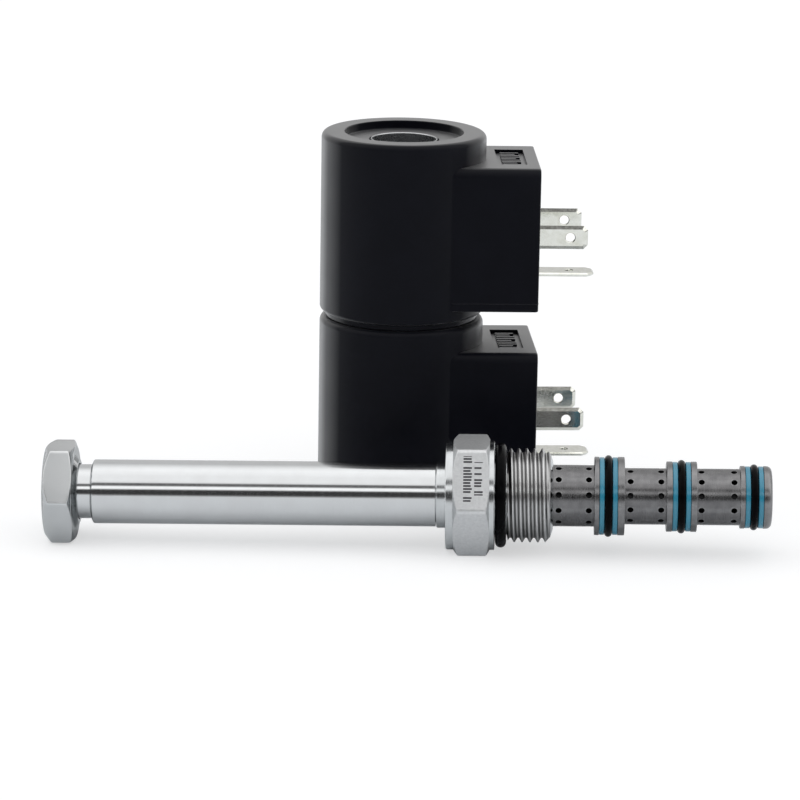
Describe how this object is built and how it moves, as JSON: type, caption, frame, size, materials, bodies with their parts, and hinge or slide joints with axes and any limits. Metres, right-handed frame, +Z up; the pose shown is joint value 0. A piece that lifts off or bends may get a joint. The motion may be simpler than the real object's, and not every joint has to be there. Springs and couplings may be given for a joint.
{
  "type": "solenoid cartridge valve",
  "caption": "Screw-in solenoid spool valve: hex body, long guide tube, ported sleeve with stepped seal lands, coil nut, and the coils stacked behind it with their plug blades.",
  "frame": {"origin": "middle of the underside of the set, on the surface it lies on", "axes": "+X along the cartridge from coil nut to nose, as seen from above; +Y from the cartridge to the coils; +Z up"},
  "size_m": [0.147, 0.0702, 0.0781],
  "materials": {
    "zinc_steel": "satin zinc plating",
    "nut_zinc": "satin zinc plating, greyer",
    "polished_steel": "polished",
    "sleeve_steel": "hardened, finely turned",
    "bright_steel": "ground",
    "magnet_steel": "machined",
    "copper": "enamelled wire",
    "tinned_brass": "tin plated, bright",
    "nitrile": "smooth, lightly oiled",
    "backup_plastic": "semi-gloss",
    "coil_plastic": "satin moulded",
    "bobbin_nylon": "moulded"
  },
  "bodies": {
    "valve_body": {"hex_body": "zinc_steel", "guide_tube": "polished_steel", "end_plug": "polished_steel", "centre_pole": "magnet_steel", "body_o_ring": "nitrile", "ported_sleeve": "sleeve_steel", "nose_ring": "bright_steel", "upper_o_ring": "nitrile", "upper_backup_ring_tube_side": "backup_plastic", "upper_backup_ring_nose_side": "backup_plastic", "middle_o_ring": "nitrile", "middle_backup_ring_tube_side": "backup_plastic", "middle_backup_ring_nose_side": "backup_plastic", "lower_o_ring": "nitrile", "lower_backup_ring_tube_side": "backup_plastic", "lower_backup_ring_nose_side": "backup_plastic", "hex_end_spring": "bright_steel", "nose_end_spring": "bright_steel"},
    "armature_stack": {"outer_armature": "magnet_steel", "inner_armature": "magnet_steel", "push_rod": "bright_steel"},
    "sliding_spool": {"spool": "sleeve_steel"},
    "nut_seal": {"nut_o_ring": "nitrile"},
    "nut": {"coil_nut": "nut_zinc"},
    "lower_coil": {"lower_coil_housing": "coil_plastic", "lower_coil_bore_liner": "bright_steel", "lower_coil_yoke_can": "magnet_steel", "lower_coil_flux_washer": "magnet_steel", "lower_coil_bobbin": "bobbin_nylon", "lower_coil_winding": "copper", "lower_coil_power_blade_front": "tinned_brass", "lower_coil_power_blade_rear": "tinned_brass", "lower_coil_ground_blade": "tinned_brass"},
    "upper_coil": {"upper_coil_housing": "coil_plastic", "upper_coil_bore_liner": "bright_steel", "upper_coil_yoke_can": "magnet_steel", "upper_coil_flux_washer": "magnet_steel", "upper_coil_bobbin": "bobbin_nylon", "upper_coil_winding": "copper", "upper_coil_power_blade_front": "tinned_brass", "upper_coil_power_blade_rear": "tinned_brass", "upper_coil_ground_blade": "tinned_brass"}
  },
  "joints": [
    {"name": "armature_slide", "type": "slide", "parent": "valve_body", "child": "armature_stack", "axis": [0.9999, 0, 0.017], "range_m": [-0.0016, 0.0016], "stiffness_N_per_m": 4000, "deforming": ["hex_end_spring", "nose_end_spring"]},
    {"name": "spool_slide", "type": "slide", "parent": "valve_body", "child": "sliding_spool", "axis": [0.9999, 0, 0.017], "range_m": [-0.0016, 0.0016]},
    {"name": "nut_travel", "type": "slide", "parent": "valve_body", "child": "nut_seal", "axis": [-0.9999, 0, -0.017], "range_m": [0, 0.00501]},
    {"name": "nut_turn", "type": "hinge", "parent": "nut_seal", "child": "nut", "pos_m": [-0.07041, -0.02222, 0.00975], "axis": [-0.9999, 0, -0.017], "range_deg": [0, 1800]},
    {"name": "lower_coil_slide", "type": "slide", "parent": "valve_body", "child": "lower_coil", "axis": [0, 1, 0], "range_m": [0, 0.08]},
    {"name": "upper_coil_lift", "type": "slide", "parent": "lower_coil", "child": "upper_coil", "axis": [0, 0, 1], "range_m": [0, 0.1]}
  ],
  "couplings": [
    {"joint": "spool_slide", "follows": "armature_slide", "ratio": 1},
    {"joint": "nut_travel", "follows": "nut_turn", "m_per_rad": 0.00015915}
  ]
}
